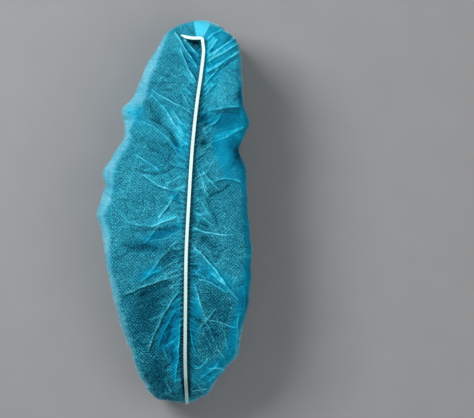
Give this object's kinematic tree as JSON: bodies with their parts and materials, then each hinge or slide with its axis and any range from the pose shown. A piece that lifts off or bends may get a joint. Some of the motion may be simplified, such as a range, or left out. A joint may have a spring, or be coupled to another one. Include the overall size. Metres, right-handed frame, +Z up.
{
  "type": "disposable shoe cover",
  "caption": "Blue non-woven overshoe, filled out and lying sole up, gathered on a white elastic along the sole seam and open underneath for a shoe.",
  "frame": {"origin": "on the floor, under the middle of the bounding box", "axes": "+Z up out of the sole, +Y towards the heel, +X to the right when looking down on the sole with the heel away from the viewer"},
  "size_m": [0.1332, 0.332, 0.0891],
  "materials": {
    "nonwoven": "thin spunbond non-woven with an embossed diamond pattern, matt with a faint sheen on creases",
    "hem": "the same non-woven, folded over an elastic and gathered",
    "elastic": "white covered flat elastic, matt"
  },
  "bodies": {
    "root": {"cover_body": "nonwoven", "opening_hem": "hem", "sole_elastic": "elastic"}
  },
  "joints": []
}
